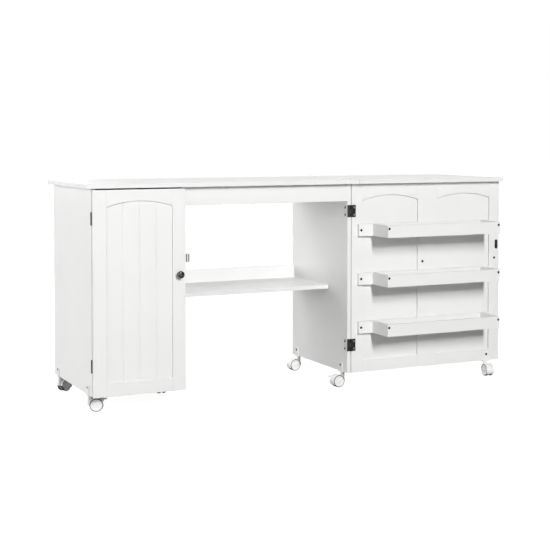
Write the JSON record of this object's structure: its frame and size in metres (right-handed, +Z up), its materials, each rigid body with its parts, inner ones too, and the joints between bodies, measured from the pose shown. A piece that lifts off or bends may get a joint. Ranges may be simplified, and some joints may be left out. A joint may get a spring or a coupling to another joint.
{
  "type": "folding sewing table",
  "caption": "White folding sewing and cutting table on casters, with a cupboard, an open knee space with a shelf, a hinged worktop leaf and a swing-out wing with trays that props it.",
  "frame": {"origin": "on the floor, under the middle of the whole table's box", "axes": "+X to the right along the worktop to the leaf's end, +Y to the back, +Z up"},
  "size_m": [1.681, 0.5832, 0.7778],
  "materials": {
    "white_board": "satin white foil on fibreboard",
    "black_hinge": "satin black",
    "bright_steel": "zinc plated",
    "white_plastic": "white moulding",
    "white_bracket": "white powder coat",
    "white_hood": "white moulding",
    "white_wheel": "white nylon with a dark grey tread",
    "pewter_knob": "dark pewter",
    "dark_screw": "dark zinc"
  },
  "bodies": {
    "cabinet": {"main_top": "white_board", "left_side_panel": "white_board", "divider_panel": "white_board", "right_side_panel": "white_board", "cupboard_floor": "white_board", "cupboard_back": "white_board", "cupboard_shelves": "white_board", "shelf_pins": "bright_steel", "front_apron": "white_board", "rear_top_rail": "white_board", "knee_shelf": "white_board", "knee_shelf_rail": "white_board", "frame_hinge_leaves": "black_hinge", "hinge_pins": "bright_steel", "leaf_hinge_top_plates": "white_bracket", "catch_housings": "white_plastic", "catch_poles": "bright_steel", "caster_brackets": "white_bracket", "cabinet_screws": "dark_screw"},
    "leaf": {"fold_leaf": "white_board", "leaf_hinge_leaf_plates": "white_bracket", "leaf_screws": "dark_screw"},
    "door": {"door_hinge_stile": "white_board", "door_free_stile": "white_board", "door_top_rail": "white_board", "door_bottom_rail": "white_board", "door_panel": "white_board", "door_knob": "pewter_knob", "door_hinge_leaves": "black_hinge", "door_strike_plate": "black_hinge", "door_screws": "dark_screw"},
    "wing": {"wing_hinge_stile": "white_board", "wing_middle_stile": "white_board", "wing_free_stile": "white_board", "wing_top_rails": "white_board", "wing_bottom_rails": "white_board", "wing_panels": "white_board", "wing_knobs": "pewter_knob", "wing_hinge_leaves": "black_hinge", "wing_strike_plate": "black_hinge", "wing_screws": "dark_screw", "tray_cleats": "white_board", "tray_fronts": "white_board", "tray_ends": "white_board", "tray_bottoms": "white_board", "wing_caster_bracket": "white_bracket"},
    "front_left_caster": {"front_left_caster_hood": "white_hood"},
    "front_left_wheels": {"front_left_caster_wheels": "white_wheel"},
    "front_left_brake": {"front_left_brake_pedal": "white_hood"},
    "rear_left_caster": {"rear_left_caster_hood": "white_hood"},
    "rear_left_wheels": {"rear_left_caster_wheels": "white_wheel"},
    "middle_caster": {"middle_caster_hood": "white_hood"},
    "middle_wheels": {"middle_caster_wheels": "white_wheel"},
    "front_right_caster": {"front_right_caster_hood": "white_hood"},
    "front_right_wheels": {"front_right_caster_wheels": "white_wheel"},
    "front_right_brake": {"front_right_brake_pedal": "white_hood"},
    "rear_right_caster": {"rear_right_caster_hood": "white_hood"},
    "rear_right_wheels": {"rear_right_caster_wheels": "white_wheel"},
    "wing_caster": {"wing_caster_hood": "white_hood"},
    "wing_wheels": {"wing_caster_wheels": "white_wheel"}
  },
  "joints": [
    {"name": "door_swing", "type": "hinge", "parent": "cabinet", "child": "door", "pos_m": [-0.8205, -0.1712, 0.4065], "axis": [0, 0, -1], "range_deg": [0, 180]},
    {"name": "wing_swing", "type": "hinge", "parent": "cabinet", "child": "wing", "pos_m": [0.1765, -0.1712, 0.4065], "axis": [0, 0, -1], "range_deg": [0, 180]},
    {"name": "leaf_fold", "type": "hinge", "parent": "cabinet", "child": "leaf", "pos_m": [0.19725, 0.0506, 0.7753], "axis": [0, -1, 0], "range_deg": [0, 180]},
    {"name": "front_left_swivel", "type": "hinge", "parent": "cabinet", "child": "front_left_caster", "pos_m": [-0.812, -0.1184, 0.04], "axis": [0, 0, 1], "continuous": true},
    {"name": "front_left_roll", "type": "hinge", "parent": "front_left_caster", "child": "front_left_wheels", "pos_m": [-0.79172, -0.12384, 0.0225], "axis": [0.2588, 0.9659, 0], "continuous": true},
    {"name": "front_left_brake_press", "type": "hinge", "parent": "front_left_caster", "child": "front_left_brake", "pos_m": [-0.76902, -0.12992, 0.0395], "axis": [0.2588, 0.9659, 0], "range_deg": [0, 15]},
    {"name": "rear_left_swivel", "type": "hinge", "parent": "cabinet", "child": "rear_left_caster", "pos_m": [-0.812, 0.2436, 0.04], "axis": [0, 0, 1], "continuous": true},
    {"name": "rear_left_roll", "type": "hinge", "parent": "rear_left_caster", "child": "rear_left_wheels", "pos_m": [-0.79346, 0.25346, 0.0225], "axis": [-0.4695, 0.8829, 0], "continuous": true},
    {"name": "middle_swivel", "type": "hinge", "parent": "cabinet", "child": "middle_caster", "pos_m": [-0.489, 0.0376, 0.04], "axis": [0, 0, 1], "continuous": true},
    {"name": "middle_roll", "type": "hinge", "parent": "middle_caster", "child": "middle_wheels", "pos_m": [-0.48827, 0.05859, 0.0225], "axis": [-0.9994, 0.0349, 0], "continuous": true},
    {"name": "front_right_swivel", "type": "hinge", "parent": "cabinet", "child": "front_right_caster", "pos_m": [0.168, -0.1184, 0.04], "axis": [0, 0, 1], "continuous": true},
    {"name": "front_right_roll", "type": "hinge", "parent": "front_right_caster", "child": "front_right_wheels", "pos_m": [0.147, -0.11877, 0.0225], "axis": [0.0175, -0.9998, 0], "continuous": true},
    {"name": "front_right_brake_press", "type": "hinge", "parent": "front_right_caster", "child": "front_right_brake", "pos_m": [0.12351, -0.11918, 0.0395], "axis": [0.0175, -0.9998, 0], "range_deg": [0, 15]},
    {"name": "rear_right_swivel", "type": "hinge", "parent": "cabinet", "child": "rear_right_caster", "pos_m": [0.168, 0.2436, 0.04], "axis": [0, 0, 1], "continuous": true},
    {"name": "rear_right_roll", "type": "hinge", "parent": "rear_right_caster", "child": "rear_right_wheels", "pos_m": [0.14703, 0.2425, 0.0225], "axis": [0.0523, -0.9986, 0], "continuous": true},
    {"name": "wing_swivel", "type": "hinge", "parent": "wing", "child": "wing_caster", "pos_m": [0.7825, -0.1609, 0.04], "axis": [0, 0, 1], "continuous": true},
    {"name": "wing_roll", "type": "hinge", "parent": "wing_caster", "child": "wing_wheels", "pos_m": [0.78031, -0.18179, 0.0225], "axis": [0.9945, -0.1045, 0], "continuous": true}
  ]
}
